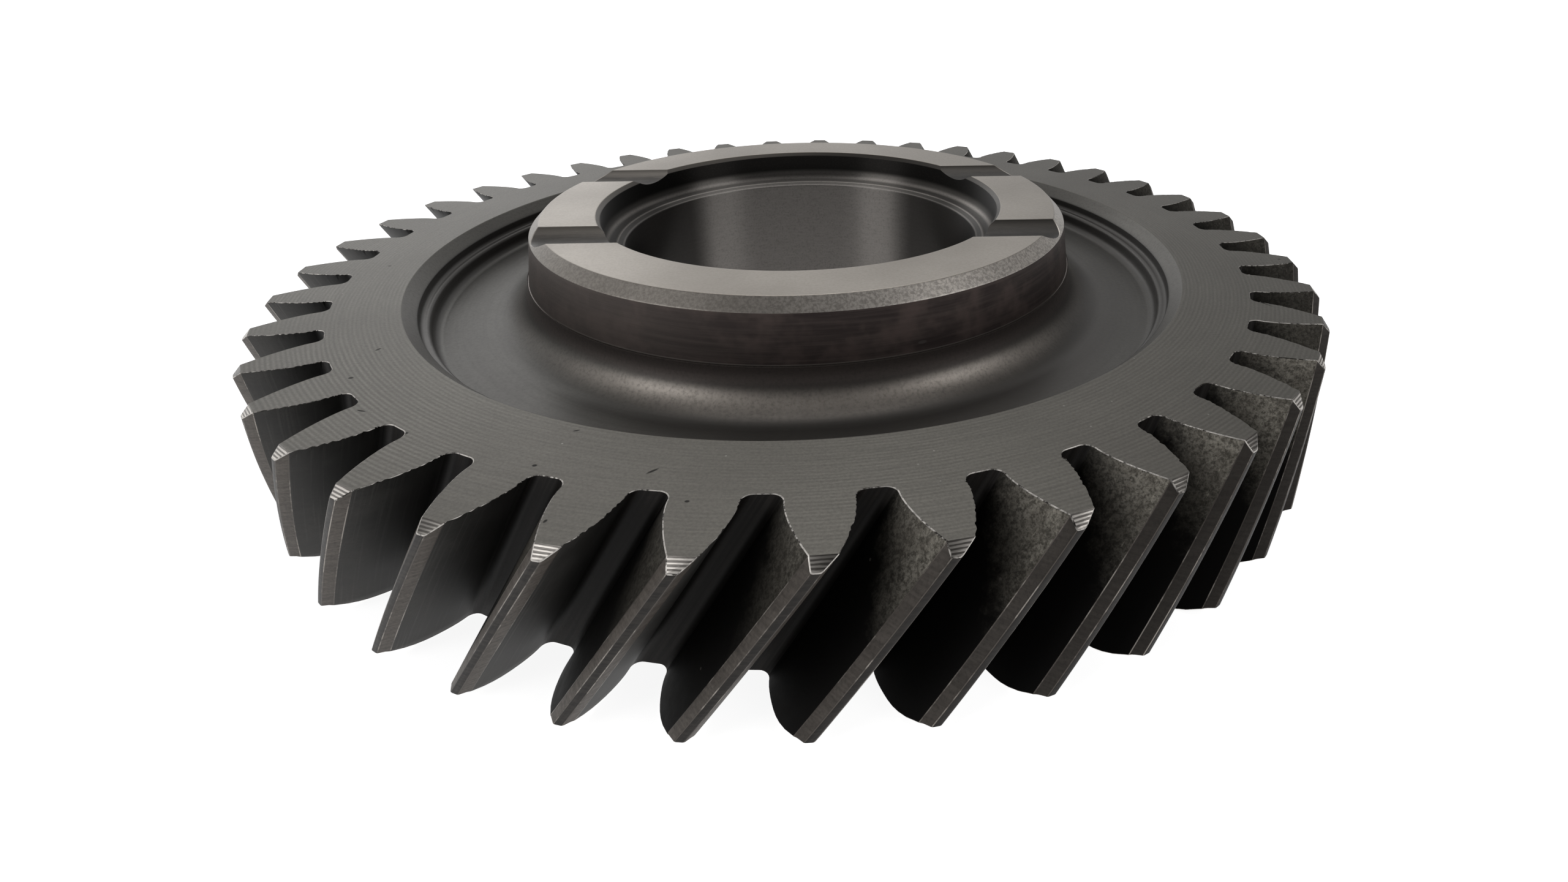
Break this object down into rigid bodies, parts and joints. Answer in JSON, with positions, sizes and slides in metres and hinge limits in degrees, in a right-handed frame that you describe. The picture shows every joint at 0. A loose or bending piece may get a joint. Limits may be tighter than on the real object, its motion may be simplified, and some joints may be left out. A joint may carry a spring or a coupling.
{
  "type": "helical transmission gear",
  "caption": "Helical transmission gear with a recessed web, a raised chamfered hub crossed by oil grooves, and a counterbored bearing bore.",
  "frame": {"origin": "on the gear's axis, in the plane of the rim's lower face", "axes": "+Z along the axis towards the raised hub, +X along the oil grooves of the hub face"},
  "size_m": [0.1192, 0.1192, 0.0227],
  "materials": {
    "gear_steel": "dark machined and phosphated steel, with brighter ground faces"
  },
  "bodies": {
    "root": {"gear": "gear_steel"}
  },
  "joints": []
}
